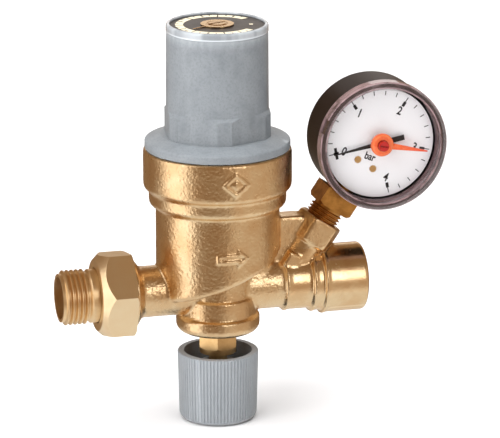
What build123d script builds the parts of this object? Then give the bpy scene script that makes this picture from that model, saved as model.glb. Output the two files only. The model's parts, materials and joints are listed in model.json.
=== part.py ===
from build123d import *
from math import acos, atan2, cos, degrees, pi, radians, sin, sqrt, tan
import os

# Automatic filling valve for a heating circuit: a brass body with an inlet union, a screwed plastic
# bonnet over the setting spring, a shut-off knob underneath and a tilted pressure gauge.
# Millimetres. The origin is where the pipe line crosses the upright axis of the body.
# +X is the flow direction, +Z is up and -Y is the side that the gauge is read from.

# Pipe line
pipeThreadR = 10.4775            # G 1/2 male thread, outer radius
pipeThreadRootR = 9.3155         # G 1/2 thread, root radius
pipePitch = 1.814
inletEnd = 62.0                  # distance of the tailpiece end from the upright axis
inletFaceAt = 41.3               # sealing face of the inlet spigot
outletEnd = 56.8
outletShoulder = 42.0            # bottom of the outlet thread
outletR = 10.0
outletBeads = [(24.4, 11.5, 11.0), (35.0, 12.6, 12.1), (39.5, 13.5, 13.1)]   # start, radius, radius after
boreR, outletBoreR, checkBoreR = 7.2, 7.5, 8.6
gap = 0.05                       # running gap between parts that touch

# Inlet union
nutAf, nutTurn = 30.6, 10
nutLip = 45.35                   # inner face of the lip that pulls the tailpiece

# Upright body
rimR, rimTop, rimLow = 28.2, 55.0, 39.3
bandR, bandLow = 26.15, 32.9
markRise = 0.6                   # height of the raised marks
bellR = 23.55                    # main cylinder, cut off by a slanted plane underneath
slantAtAxis, slantRise = 5.4, 0.39
neckR, neckLow = 13.5, -3.0
waistR, waistLow = 14.5, -10.5
bossR, bossLow = 16.0, -17.0
chamberR = 10.6                  # lower chamber around the strainer
chamberFloor = -9.0
deckR, deckLow, deckTop = 11.4, 13.0, 20.0
throatAt, throatR = 13.8, 8.3    # wall around the port down to the outlet
portAt, portR = 16.9, 4.0
upperR, ledge = 19.8, 40.0       # outlet chamber under the diaphragm
socketR = 24.5                   # screwed socket for the bonnet

# Gauge branch: tilted towards the outlet, in the upright plane of the pipe line
branchFoot = 24.8
branchTilt = 34.0                # degrees from the vertical
branchFace = 28.8                # along the branch axis from the pipe line
branchAf, branchTall = 16.6, 10.0
gaugeThreadR, gaugeRootR, gaugePitch = 6.5785, 5.7225, 1.337     # G 1/4
stemSquare = 14.0
gaugeReach = 65.6                # gauge centre, along the branch axis

# Bonnet, setting screw and spring
bonnetFlangeR, bonnetFlangeTop = 27.6, 58.2
bonnetLow, bonnetDraft = 43.7, 0.3
bonnetHexAf, bonnetCornerR = 38.4, 20.6
hexLow, hexTop = 60.3, 69.2
bonnetR, bonnetTop = 19.5, 100.0
bonnetBoreR, bonnetRoof = 16.0, 94.0
bonnetHexTurn = 263.0            # direction of one corner flat, degrees from +X
dialOuterR, dialTop, valveTop = 17.75, 102.3, 103.0
screwR, screwThreadR = 4.0, 5.0
carrierLow, carrierTop, carrierKey = 82.0, 86.5, 4.0
springMeanR, springWireR = 11.6, 1.7

# Regulating and shut-off parts
stemR = 2.5
seatLip, seatR = 9.5, 4.5
regulatorLift = 2.5              # opening of the seat at rest
shutLift = 2.9                   # travel of the shut-off plug
cartridgeLow = 7.0
spiderLow = 39.8                 # arms of the check valve housing
plugHoleR = 3.06                 # hole that takes the spindle nose
knobTop, knobLow, knobR, knobFootR = -25.3, -52.0, 15.5, 14.8
knobCupR, knobRibs = 13.05, 72
glandAf, glandHexLow, glandLow = 14.0, -24.0, -26.0

# Gauge, in its own frame: x to the right, y along the branch axis, z towards the reader
caseR, caseWall, caseBack, caseFront = 24.0, 1.3, -10.0, 10.8
lensR, lensFront = 25.0, 14.3
windowThick, notchAngle = 1.5, 192.6
studR = 1.95                     # set pointer's stud, through the window
dialR, dialFace = 21.4, 7.8
zeroAngle = 225.0                # dial angle of the zero mark, anticlockwise from x
needleLow, needleHigh = 9.0, 9.5
setAngle = 22.5                  # dial angle of the set pointer, three quarters of the scale
gearModule, pinionTeeth, sectorTeeth = 0.4, 12, 60
gearGap = 14.4                   # distance between the pinion and the sector axes
arborR = 0.6
backlash = 0.045
tubeR, tubeThick = 19.6, 1.6     # curved tube: mean radius and radial thickness
tubeStart, tubeSweep = -72.0, 205.0
linkAngle, tailR, tailAngle = 131, 3.2, 100      # link's eye on the tube and the sector's tail

branchAxis = (sin(radians(branchTilt)), 0, cos(radians(branchTilt)))
inletFrame = Plane(origin=(0, 0, 0), x_dir=(0, -1, 0), z_dir=(-1, 0, 0))
outletFrame = Plane(origin=(0, 0, 0), x_dir=(0, -1, 0), z_dir=(1, 0, 0))
branchFrame = Plane(origin=(branchFoot, 0, 0), x_dir=(0, -1, 0), z_dir=branchAxis)
gaugeCentre = (branchFoot + gaugeReach * branchAxis[0], 0, gaugeReach * branchAxis[2])
gaugeFrame = Plane(origin=gaugeCentre, x_dir=(branchAxis[2], 0, -branchAxis[0]), z_dir=(0, -1, 0))


def lathe(*corners):
    """Solid turned about Z from (radius, height) corners; a third value rounds the corner."""
    points = [(corner[0], 0, corner[1]) for corner in corners]
    radii = [corner[2] if len(corner) > 2 else 0 for corner in corners]
    if any(radii):
        outline = FilletPolyline(*points, radius=radii, close=True)
    else:
        outline = Polyline(*points, close=True)
    return revolve(make_face(outline), Axis.Z)


def rod(radius, low, high):
    return Pos(0, 0, low) * extrude(Circle(radius), high - low)


def tube(outer, inner, low, high):
    return Pos(0, 0, low) * extrude(Circle(outer) - Circle(inner), high - low)


def slab(outline, low, high):
    return Pos(0, 0, low) * extrude(outline, high - low)


def polar(radius, angle):
    return radius * cos(radians(angle)), radius * sin(radians(angle))


def polygon(cornerRadius, sides, turn=0):
    corners = [polar(cornerRadius, turn + 360 * k / sides) for k in range(sides)]
    return make_face(Polyline(*corners, close=True))


def hexagon(acrossFlats, turn=0):
    return polygon(acrossFlats / sqrt(3), 6, turn)


def threadEdge(crest, root, pitch, low, high):
    """(radius, height) corners of evenly spaced thread ridges from low to high."""
    turns = int((high - low) / pitch)
    start = low + (high - low - turns * pitch) / 2
    corners = [(root, start)]
    for k in range(turns):
        base = start + k * pitch
        corners += [(root, base + 0.08 * pitch), (crest, base + 0.40 * pitch)]
        corners += [(crest, base + 0.60 * pitch), (root, base + 0.92 * pitch)]
    return corners + [(root, start + turns * pitch)]


def ring(centreRadius, wireRadius, height):
    """O-ring about Z."""
    return Pos(0, 0, height) * Torus(centreRadius, wireRadius)


def coil(meanRadius, wireRadius, low, high, turns):
    rise = high - low - 2 * wireRadius
    path = Helix(pitch=rise / turns, height=rise, radius=meanRadius)
    section = Plane(origin=path @ 0, z_dir=path % 0) * Circle(wireRadius)
    return Pos(0, 0, low + wireRadius) * sweep(section, path=path, is_frenet=True)


# ---- Brass body ----

def slantCutter(rise, level, reach=80):
    """Block under the plane z = level + rise * x."""
    outline = Polyline((-reach, level - rise * reach), (reach, level + rise * reach),
                       (reach, -reach), (-reach, -reach), close=True)
    return extrude(make_face(Plane.XZ * outline), reach, both=True)


def upperCasting():
    bell = rod(bellR, -20, bandLow + 2) - slantCutter(slantRise, slantAtAxis)
    bell = fillet(bell.faces().sort_by(Axis.Z)[0].edges(), 2.0)
    crown = lathe((0, bandLow), (bandR, bandLow, 2.0), (bandR, rimLow), (rimR, rimLow, 1.9),
                  (rimR, rimTop, 0.8), (0, rimTop))
    return bell + crown


def lowerCasting():
    neck = lathe((0, bossLow), (bossR, bossLow, 3.2), (bossR, waistLow, 0.8), (waistR, waistLow),
                 (waistR, neckLow, 0.8), (neckR, neckLow), (neckR, deckLow + 3), (0, deckLow + 3))
    throat = Pos(throatAt, 0, 0) * rod(throatR, 0, deckLow + 2)
    return neck + throat


def spigots():
    inlet = lathe((0, 0), (9.8, 0), (9.8, 31.0, 1.5), (13.5, 33.4, 0.6), (13.5, 34.3), (13.0, 34.3),
                  (13.0, inletFaceAt, 0.6), (0, inletFaceAt))
    corners = [(0, 0), (outletR, 0)]
    radius = outletR
    for bead, beadR, nextR in outletBeads:
        corners += [(radius, bead), (beadR, bead + 0.3, 0.3), (beadR, bead + 1.2, 0.3), (nextR, bead + 1.5)]
        radius = nextR
    outlet = lathe(*corners, (radius, outletEnd, 1.4), (0, outletEnd))
    return inletFrame * inlet + outletFrame * outlet


def gaugeBranch():
    cornerR = branchAf / sqrt(3)
    head = slab(hexagon(branchAf, 30), branchFace - branchTall, branchFace)
    head &= lathe((0, 0), (5, 0), (cornerR, branchFace - branchTall + 2.2), (cornerR, branchFace - 0.7),
                  (cornerR - 0.9, branchFace), (0, branchFace))
    foot = lathe((0, 4), (7.6, 4), (7.6, branchFace - branchTall - 0.8), (8.0, branchFace - branchTall + 1.5),
                 (0, branchFace - branchTall + 1.5))
    webOutline = Polyline((15, 4), (15, 26.6), (32.5, 26.6), (34, 20), (30, 4), close=True)
    web = extrude(make_face(Plane.XZ * webOutline), 4.5, both=True)
    lug = Pos(27.4, -6.3, 9.6) * Rot(0, branchTilt, 0) * Box(5.5, 3.4, 6.4)
    return branchFrame * (head + foot) + web + lug


def raisedMarks():
    """Outlined flow arrow on the bell and a plain lozenge on the rim."""
    tail, neck, tip, half, barb = -6.1, 2.0, 6.1, 1.6, 3.3
    arrow = make_face(Polyline((tail, -half), (neck, -half), (neck, -barb), (tip, 0), (neck, barb),
                               (neck, half), (tail, half), close=True))
    arrow -= offset(arrow, -0.85)
    arrowBlock = Pos(0, -24, 17.3) * extrude(Plane.XZ * arrow, 4, both=True)
    lozenge = make_face(Polyline((-5.2, 0), (0, -4.6), (5.2, 0), (0, 4.6), close=True))
    lozenge = lozenge - scale(lozenge, 0.72) + scale(lozenge, 0.38)
    lozengeBlock = Pos(0, -28, 47.2) * extrude(Plane.XZ * lozenge, 4, both=True)
    arrowMark = arrowBlock & rod(bellR + markRise, 5, 30)
    return arrowMark + (lozengeBlock & rod(rimR + markRise, rimLow, rimTop))


def bodyCavities():
    socket = rod(socketR, ledge, rimTop + 1)
    chamber = rod(upperR, 0, ledge + 1) - slantCutter(0.15, 13.5) - rod(deckR + 2.6, 0, deckTop)
    well = lathe((0, chamberFloor), (chamberR, chamberFloor), (chamberR, deckLow), (deckR, deckLow),
                 (deckR, deckTop + 1), (0, deckTop + 1))
    gland = rod(6.6, bossLow - 1, chamberFloor + 1)
    inlet = inletFrame * rod(boreR, chamberR - 4, inletFaceAt + 1)
    port = Pos(portAt, 0, 0) * rod(portR, 0, deckTop + 3)
    corners = [(0, 13.4), (outletBoreR, 13.4), (outletBoreR, 31.6), (checkBoreR, 31.6),
               (checkBoreR, outletShoulder), (pipeThreadRootR, outletShoulder)]
    corners += threadEdge(pipeThreadR, pipeThreadRootR, pipePitch, outletShoulder, outletEnd - 0.4)[1:]
    corners += [(pipeThreadR + 0.2, outletEnd + 0.3), (0, outletEnd + 0.3)]
    outlet = outletFrame * lathe(*corners)
    tapping = branchFrame * (rod(gaugeThreadR + gap, branchFace - 10.8, branchFace + 1)
                             + rod(2.0, 4, branchFace - 10))
    return [socket, chamber, well, gland, inlet, port, outlet, tapping]


def valveBody():
    casting = upperCasting() + lowerCasting() + spigots() + gaugeBranch() + raisedMarks()
    return casting - bodyCavities()


# ---- Inlet union ----

def unionNut():
    low, high, cornerR = 34.6, 47.9, nutAf / sqrt(3)
    blank = slab(hexagon(nutAf, nutTurn), low, high)
    blank &= lathe((0, low), (cornerR - 1.0, low), (cornerR, low + 0.7), (cornerR, high - 4.3),
                   (13.6, high, 0.8), (0, high))
    bore = lathe((0, low - 1), (13.1, low - 1), (13.1, nutLip), (10.6, nutLip), (10.6, high + 1), (0, high + 1))
    return inletFrame * (blank - bore)


def inletTailpiece():
    boreAt, collarR, threadLow = 8.1, 12.2, 51.6
    collarLow = inletFaceAt + 1.5
    corners = [(boreAt, collarLow), (collarR, collarLow), (collarR, nutLip - 0.1), (10.25, nutLip - 0.1),
               (10.25, threadLow - 1), (pipeThreadRootR, threadLow)]
    corners += threadEdge(pipeThreadR, pipeThreadRootR, pipePitch, threadLow, inletEnd - 0.5)[1:]
    corners += [(pipeThreadRootR - 0.1, inletEnd), (boreAt, inletEnd)]
    return inletFrame * lathe(*corners)


def unionGasket():
    return inletFrame * tube(12.2, 8.4, inletFaceAt + gap, inletFaceAt + 1.5 - gap)


# ---- Bonnet and setting gear ----

def bonnet():
    skirtR, flangeLow = socketR - 0.1, rimTop + gap
    shell = lathe((0, bonnetLow), (skirtR, bonnetLow, 0.6), (skirtR, flangeLow), (bonnetFlangeR, flangeLow, 0.5),
                  (bonnetFlangeR, bonnetFlangeTop, 0.8), (21.6, hexLow), (bonnetR, hexLow),
                  (bonnetR - bonnetDraft, bonnetTop), (0, bonnetTop))
    flats = hexagon(bonnetHexAf, bonnetHexTurn) & hexagon(2 * bonnetCornerR, bonnetHexTurn + 30)
    corners = slab(flats, hexLow - 1, hexTop + 2)
    corners &= lathe((0, hexLow - 1), (23, hexLow - 1), (23, hexTop - 1.9),
                     (bonnetR - bonnetDraft, hexTop + 1.6), (0, hexTop + 1.6))
    hollow = lathe((0, bonnetLow - 1), (20.2, bonnetLow - 1), (20.2, 57), (bonnetBoreR, 61),
                   (bonnetBoreR, bonnetRoof, 1.0), (0, bonnetRoof))
    hollow += rod(screwR + gap, bonnetRoof - 1, bonnetTop + 1)
    keyway = Pos(0, 0, 76.5) * Box(2 * bonnetBoreR + 2.4, carrierKey + 0.4, 29)
    return shell + corners - hollow - keyway


def dialRing():
    inner, outer = dialOuterR + 0.1, 19.3
    return lathe((inner, bonnetTop), (outer, bonnetTop, 0.3), (outer, valveTop, 1.0), (18.1, valveTop),
                 (inner, valveTop - 0.4))


def settingDial():
    return tube(dialOuterR, screwR + 0.2, bonnetTop + gap, dialTop)


def settingScrew():
    foot, threadTop, rootR, collarR = 68.0, 91.2, 4.2, 7.0
    corners = [(0, foot), (rootR, foot)] + threadEdge(screwThreadR, rootR, 2.0, foot, threadTop)[1:]
    corners += [(collarR, threadTop), (collarR, bonnetRoof - 0.1), (screwR, bonnetRoof - 0.1),
                (screwR, valveTop - 0.3), (3.2, valveTop), (0, valveTop)]
    slot = Pos(0, 0, valveTop) * Rot(0, 0, 20) * Box(10, 1.1, 2.4)
    return lathe(*corners) - slot


def settingIndicator():
    """Gilt washer on the screw head with a thin pointer towards the scale."""
    pointerAngle = 208
    washer = tube(6.3, screwR + gap, dialTop + 0.15, dialTop + 0.5)
    hand = slab(Pos(8.9, 0) * Rectangle(6.0, 0.5), dialTop + 0.15, dialTop + 0.4)
    return washer + Rot(0, 0, pointerAngle) * hand


def springCarrier():
    plate = tube(bonnetBoreR - 0.5, screwThreadR + gap, carrierLow, carrierTop)
    hub = tube(8.0, screwThreadR + gap, carrierLow - 5, carrierLow + 1)
    middle, tall = (carrierLow + carrierTop) / 2, carrierTop - carrierLow
    lugs = Pos(0, 0, middle) * Box(2 * bonnetBoreR + 1.6, carrierKey, tall)
    return plate + hub + (lugs - rod(10, carrierLow, carrierTop))


def settingSpring():
    return coil(springMeanR, springWireR, 42.65, carrierLow - 0.05, 7)


# ---- Diaphragm, stem and seat ----

def springPlate():
    inner, low, floor, top = stemR + gap, 40.75, 42.55, 45.0
    return lathe((inner, low), (14.9, low, 0.4), (14.9, top), (13.9, top), (13.9, floor), (inner, floor))


def diaphragm():
    inner, edgeR, edgeLow, edgeTop = stemR + gap, 24.2, ledge + gap, 41.9
    underside = [(inner, 39.1), (13.2, 39.1, 0.6), (14.6, 37.2, 1.0), (18.2, 37.2, 1.0), (19.6, edgeLow, 0.5)]
    topside = [(18.4, edgeTop, 0.6), (17.2, 39.0, 1.0), (15.7, 39.0, 1.0), (14.2, 40.7, 0.6), (inner, 40.7)]
    return lathe(*underside, (edgeR, edgeLow), (edgeR, edgeTop), *topside)


def slipRing():
    return tube(24.2, 20.3, 41.95, 43.65)


def diaphragmWasher():
    return tube(12.6, stemR + gap, 37.5, 39.05)


def obturator():
    """Closing disc and regulating stem in one turned piece, open by its full lift at rest."""
    face = seatLip - regulatorLift
    disc = [(0, face - 3.7), (6.2, face - 3.7, 0.4), (6.2, face - 1.5), (stemR, face - 1.5)]
    shoulder = [(stemR, 35.6), (4.6, 35.6), (4.6, 37.45), (stemR, 37.45)]
    return lathe(*disc, *shoulder, (stemR, 48.2, 0.4), (0, 48.2))


def obturatorSeal():
    face = seatLip - regulatorLift
    return tube(6.0, stemR + 0.03, face - 1.45, face)


def stemNut():
    low, high, cornerR = 42.6, 46.6, 4.62
    blank = slab(hexagon(8.0) - Circle(stemR + 0.03), low, high)
    return blank & lathe((0, low), (cornerR, low), (cornerR, high - 0.5), (4.1, high), (0, high))


def seatCartridge():
    grooveR, grooveLow, grooveHigh, headR = 9.75, 15.3, 17.7, deckR - gap
    outside = [(6.7, cartridgeLow), (9.3, cartridgeLow), (9.3, deckLow + gap), (headR, deckLow + gap),
               (headR, grooveLow), (grooveR, grooveLow), (grooveR, grooveHigh), (headR, grooveHigh)]
    inside = [(headR, deckTop), (7.6, deckTop), (7.6, 12.6), (seatR, 11.6), (seatR, seatLip),
              (seatR + 0.8, seatLip), (seatR + 1.3, seatLip + 1.0), (6.7, seatLip + 1.0)]
    return lathe(*outside, *inside)


def cartridgeRing():
    return ring(10.56, 0.78, 16.5)


def stemGuide():
    disc = tube(7.55, stemR + 0.06, 17.0, 19.6)
    return disc - [Pos(*polar(5.0, 90 * k + 45)) * rod(1.75, 16, 21) for k in range(4)]


def strainer():
    """Perforated stainless sleeve, clipped over the foot of the cartridge."""
    sleeve = tube(9.85, 9.35, chamberFloor + gap, 10.5)
    columns, rows = 20, 6
    windows = []
    for row in range(rows):
        height = chamberFloor + 2.6 + 2.5 * row
        for column in range(columns // 2):
            windows.append(Pos(0, 0, height) * Rot(0, 0, 360 * column / columns) * Box(24, 1.9, 1.7))
    return sleeve - windows


# ---- Shut-off ----

def shutoffPlug():
    low, top, floor = -4.0, 2.7, -1.4
    cup = lathe((0, low), (8.6, low, 0.8), (8.6, top), (6.9, top), (6.9, floor), (0, floor))
    collar = tube(5.0, plugHoleR, -7.6, low + 0.5)
    return cup - rod(plugHoleR, low - 0.5, -2.2) + collar


def plugSeal():
    return tube(8.5, 6.95, 2.75, cartridgeLow - shutLift - gap)


def shutoffSpindle():
    foot, noseTop, shaftR, rootR, noseR = -48.0, -2.35, 3.5, 4.3, 3.0
    corners = [(0, foot), (shaftR, foot), (shaftR, -19.6), (rootR, -19.0)]
    corners += threadEdge(5.0, rootR, 1.5, -19.0, -12.2)[1:]
    corners += [(noseR, -11.8), (noseR, noseTop), (0, noseTop)]
    flat = Pos(4.6, 0, -39.5) * Box(3.4, 8, 19)
    pilot = rod(1.55, -49, -40)
    return lathe(*corners) - flat - pilot


def gland():
    sleeve = rod(6.55, bossLow - 0.5, chamberFloor - 0.2)
    head = slab(hexagon(glandAf, 255), glandHexLow, bossLow - gap)
    cornerR = glandAf / sqrt(3)
    head &= lathe((0, glandHexLow), (cornerR - 0.8, glandHexLow), (cornerR, glandHexLow + 0.8),
                  (cornerR, bossLow - gap), (0, bossLow - gap))
    collar = rod(7.0, glandLow, glandHexLow + 0.5)
    bore = rod(5.06, -20.2, -9) + rod(3.56, -27, -20) + rod(4.5, -23.4, -21.8)
    return sleeve + head + collar - bore


def glandRing():
    return ring(4.03, 0.44, -22.6)


def knobRim(cornerTop, cornerFoot):
    """Ribbed outline lofted from the rim down to the foot."""
    def outline(radius, height):
        points = []
        step = 360 / knobRibs
        for k in range(knobRibs):
            for share, depth in ((0.0, 0.42), (0.22, 0.42), (0.42, 0.0), (0.80, 0.0)):
                x, y = polar(radius - depth, (k + share) * step)
                points.append((x, y, height))
        return make_face(Polyline(*points, close=True))
    return loft([outline(cornerFoot, knobLow), outline(cornerTop, knobTop)], ruled=True)


def knob():
    grip = knobRim(knobR, knobFootR)
    grip &= lathe((0, knobLow), (knobFootR + 0.05, knobLow, 2.8), (knobR + 0.06, knobTop, 0.7), (0, knobTop))
    cupLow, postTop, postR = -48.5, -30.2, 7.2
    cup = lathe((postR, cupLow, 1.0), (knobCupR - 0.5, cupLow, 1.5), (knobCupR, knobTop + 1), (0, knobTop + 1),
                (0, postTop), (postR, postTop))
    shaftHole = slab(Circle(3.54) - Pos(4.64, 0) * Rectangle(3.4, 8), -48.05, -29)
    screwHole = lathe((0, -53), (3.6, -53), (3.6, -50.0), (1.7, -50.0), (1.7, -47), (0, -47))
    return grip - cup - shaftHole - screwHole


def knobScrew():
    body = lathe((0, -51.6), (3.0, -51.6, 0.8), (3.4, -50.05), (1.5, -50.05), (1.5, -41.0), (0, -41.0))
    return body - Pos(0, 0, -51.6) * (Box(4.2, 0.8, 1.8) + Box(0.8, 4.2, 1.8))


# ---- Check valve in the outlet ----

def checkHousing():
    low, top, outer = 31.75, 41.8, 8.5
    outside = [(6.4, low), (outer, low), (outer, 33.3), (7.5, 33.3), (7.5, 35.1), (outer, 35.1), (outer, top)]
    inside = [(7.4, top), (7.4, 34.4), (5.2, 34.4), (4.6, 33.8), (4.6, low)]
    arms = Rectangle(15.4, 1.6) + Rectangle(1.6, 15.4) + Circle(2.4)
    spider = slab(arms, spiderLow, top) - rod(1.3, spiderLow - 1, top + 1)
    return outletFrame * (lathe(*outside, *inside) + spider)


def checkRing():
    return outletFrame * ring(8.06, 0.5, 34.2)


def checkPoppet():
    face, stemTop = 34.5, 41.6
    disc = lathe((0, face), (6.0, face), (6.0, face + 1.1), (1.2, face + 1.7), (1.2, stemTop), (0, stemTop))
    return outletFrame * disc


def checkSpring():
    return outletFrame * coil(2.3, 0.25, 36.4, spiderLow - gap, 4)


# ---- Gauge ----

def gaugeStem():
    """Stem with a square for the spanner; its thread is plain where the branch hides it."""
    foot, bareFrom, passageR = branchFace - 8.6, branchFace - 1.5, 1.3
    squareLow, squareHigh = branchFace + 5.3, branchFace + 12.5
    corners = [(passageR, foot), (gaugeThreadR, foot), (gaugeThreadR, bareFrom), (gaugeRootR, bareFrom)]
    corners += threadEdge(gaugeThreadR, gaugeRootR, gaugePitch, bareFrom, squareLow - 0.4)[1:]
    corners += [(gaugeRootR, squareLow + 0.1), (passageR, squareLow + 0.1)]
    square = slab(Rectangle(stemSquare, stemSquare), squareLow, squareHigh)
    square &= lathe((0, squareLow), (8.4, squareLow), (9.9, squareLow + 1.2), (9.9, squareHigh), (0, squareHigh))
    passage = rod(passageR, squareLow - 1, squareHigh + 6)
    neck = rod(5.3, squareHigh - 1, squareHigh + 3.5)
    block = Pos(-3.5, 0, gaugeReach - 18) * Box(6.0, 11, 7.6)
    return branchFrame * (lathe(*corners) + square + neck + block - passage)


def gaugeWasher():
    return branchFrame * tube(6.3, 2.4, branchFace - 10.75, branchFace - 8.65)


def gaugeCase():
    shell = lathe((0, caseBack), (caseR, caseBack, 1.6), (caseR, caseFront), (caseR - caseWall, caseFront),
                  (caseR - caseWall, caseBack + caseWall, 0.8), (0, caseBack + caseWall))
    stemHole = Pos(0, -caseR, 0) * Rot(90, 0, 0) * Cylinder(5.4, 8)
    saddleTop = branchFace + 12.5 - gaugeReach
    saddle = Pos(0, saddleTop - 5, 0) * Box(stemSquare + 2 * gap, 10, stemSquare + 2 * gap)
    return gaugeFrame * (shell - stemHole - saddle)


def gaugeLens():
    behind, skirt, inner, studHole = lensFront - windowThick, caseFront - 1.4, caseR + 0.06, studR + 0.1
    cap = lathe((studHole, behind), (inner, behind), (inner, skirt), (lensR, skirt), (lensR, lensFront, 0.7),
                (23.2, lensFront), (22.8, lensFront - 0.5), (studHole, lensFront - 0.5))
    spigot = tube(22.6, 21.7, dialFace + gap, behind + 0.2)
    notch = Pos(*polar(lensR, notchAngle), lensFront - 1.2) * Rot(0, 0, notchAngle) * Box(1.5, 5.6, 7)
    return gaugeFrame * (cap + spigot - notch)


def dialScrewPlaces():
    return [(-3.6, -9.8), (3.6, -9.8)]


def dialPlate():
    plate = tube(dialR, 1.0, dialFace - 0.5, dialFace)
    return gaugeFrame * (plate - [Pos(x, y) * rod(0.75, 0, 10) for x, y in dialScrewPlaces()])


def dialScrews():
    seat, top = dialFace + 0.02, dialFace + 0.4
    screw = lathe((0, 5.4), (0.7, 5.4), (0.7, seat), (1.35, seat), (1.35, top, 0.2), (0, top))
    screw -= Pos(0, 0, top) * Box(3, 0.35, 0.5)
    return [gaugeFrame * Pos(x, y) * screw for x, y in dialScrewPlaces()]


def movementPlate(low, high):
    outline = Pos(0, -1.5) * RectangleRounded(11, 37, 2.5) & Circle(18.4)
    through = 20
    bearing = rod(arborR + 0.06, -through, through)
    plate = slab(outline, low, high) - bearing - Pos(0, gearGap) * bearing
    return plate - [Pos(x, y) * rod(0.72, -through, through) for x, y in dialScrewPlaces()]


def frontPlate():
    return gaugeFrame * movementPlate(5.2, 6.4)


def backPlate():
    posts = [Pos(x, -6.0) * rod(1.1, 0.4, 5.15) for x in (-4.0, 4.0)]
    return gaugeFrame * (movementPlate(-0.4, 0.6) + posts)


def toothHalfAngle(radius, teeth, module):
    """Half the tooth's angular thickness at a radius, for a 20 degree involute with a little backlash."""
    pitchR, pressure = teeth * module / 2, radians(20)
    baseR = pitchR * cos(pressure)
    local = acos(min(1, baseR / max(radius, baseR)))
    return pi / (2 * teeth) - backlash / pitchR + (tan(pressure) - pressure) - (tan(local) - local)


def toothPoints(teeth, module, rootR, tipR, angle):
    steps = [rootR + (tipR - rootR) * k / 5 for k in range(6)]
    rising = [(r, angle - toothHalfAngle(r, teeth, module)) for r in steps]
    falling = [(r, angle + toothHalfAngle(r, teeth, module)) for r in reversed(steps)]
    return [(r * cos(a), r * sin(a)) for r, a in rising + falling]


def pinionShaft():
    points = []
    for k in range(pinionTeeth):
        middle = radians(90) + (k + 0.5) * 2 * pi / pinionTeeth
        points += toothPoints(pinionTeeth, gearModule, 2.0, 2.84, middle)
    teeth = slab(make_face(Polyline(*points, close=True)), 2.4, 4.2)
    shaft = rod(arborR, -0.9, needleLow + 0.9) + rod(1.0, 1.0, 1.3)
    return gaugeFrame * (teeth + shaft)


def sectorGear():
    """Toothed sector that turns the pinion, centred on its own arbor at (0, gearGap)."""
    first, last, low, high = -10, 1, 2.7, 3.9
    pitchAngle = 2 * pi / sectorTeeth
    points = [polar(1.6, 250)]
    for k in range(first, last + 1):
        points += toothPoints(sectorTeeth, gearModule, 11.42, 12.28, radians(270) + k * pitchAngle)
    points.append(polar(1.6, 290))
    blade = slab(make_face(Polyline(*points, close=True)), low, high) + tube(2.0, 0.3, low, high)
    tail = slab(Rot(0, 0, tailAngle) * Pos(1.7, 0) * SlotOverall(5.2, 1.8), low, high)
    tail -= Pos(*polar(tailR, tailAngle)) * rod(0.35, low - 1, high + 1)
    arbor = rod(arborR, -0.35, 6.3)
    return gaugeFrame * Pos(0, gearGap) * (blade + tail + arbor)


def bourdonTube():
    """Curved flat tube from the stem block round to its free tip."""
    wall, low, high, far, spokes = 0.35, -6.2, -0.8, 40, 6
    outer = Circle(tubeR + tubeThick / 2) - Circle(tubeR - tubeThick / 2)
    inner = Circle(tubeR + tubeThick / 2 - wall) - Circle(tubeR - tubeThick / 2 + wall)

    def wedge(start, angle):
        rim = [polar(far, start + angle * k / spokes) for k in range(spokes + 1)]
        return make_face(Polyline((0, 0), *rim, close=True))

    hollow = slab(inner & wedge(tubeStart - 2, tubeSweep - 1), low + wall, high - wall)
    return gaugeFrame * (slab(outer & wedge(tubeStart, tubeSweep), low, high) - hollow)


def tubeLink():
    """Short link from the tube tip towards the tail of the sector."""
    tip = Vector(*polar(tubeR, linkAngle))
    tail = Vector(*polar(tailR, tailAngle)) + Vector(0, gearGap)
    reach, middle = tail - tip, (tail + tip) / 2
    angle = degrees(atan2(reach.Y, reach.X))
    outline = Pos(middle.X, middle.Y) * Rot(0, 0, angle) * SlotCenterToCenter(reach.length, 1.6)
    return gaugeFrame * (slab(outline, 0.95, 1.35) + Pos(tip.X, tip.Y) * rod(0.5, -0.75, 1.0))


def hairspring():
    """Flat spiral made of half turns whose radius grows step by step."""
    growth, halfTurns, strip, firstR = 0.32, 8, 0.12, 1.3
    solid = None
    for k in range(halfTurns):
        radius = firstR + growth * k
        shift = growth / 2 if k % 2 else -growth / 2
        half = Circle(radius + strip / 2) - Circle(radius - strip / 2)
        side = 1 if k % 2 == 0 else -1
        half &= Pos(0, side * 10) * Rectangle(20, 20)
        arc = Pos(shift, 0) * slab(half, 1.45, 1.95)
        solid = arc if solid is None else solid + arc
    return gaugeFrame * solid


def gaugeNeedle():
    tailEnd, tailStart, tip = -9.6, -3.4, 18.6
    upper = [(tip, 0.12), (0, 0.9), (tailStart, 0.5), (tailStart, 1.0), (tailEnd, 1.0)]
    lower = [(x, -y) for x, y in reversed(upper)]
    blade = make_face(Polyline(*upper, *lower, close=True))
    shape = slab(blade + Circle(2.2), needleLow, needleHigh) - rod(arborR, needleLow - 1, needleHigh + 1)
    return gaugeFrame * Rot(0, 0, zeroAngle) * shape


def setPointer():
    low, shoulder, top = 11.0, 12.7, lensFront + 0.3
    arm = make_face(Polyline((3.2, -1.25), (18.4, -0.25), (18.4, 0.25), (3.2, 1.25), close=True))
    hub = lathe((0, low), (4.4, low), (4.4, low + 1.2, 0.4), (3.6, shoulder), (studR, shoulder),
                (studR, top, 0.2), (0, top))
    slot = Pos(0, 0, top) * Box(3.0, 0.5, 1.2)
    return gaugeFrame * Rot(0, 0, setAngle) * (slab(arm, low + 0.2, low + 0.8) + hub - slot)


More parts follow.
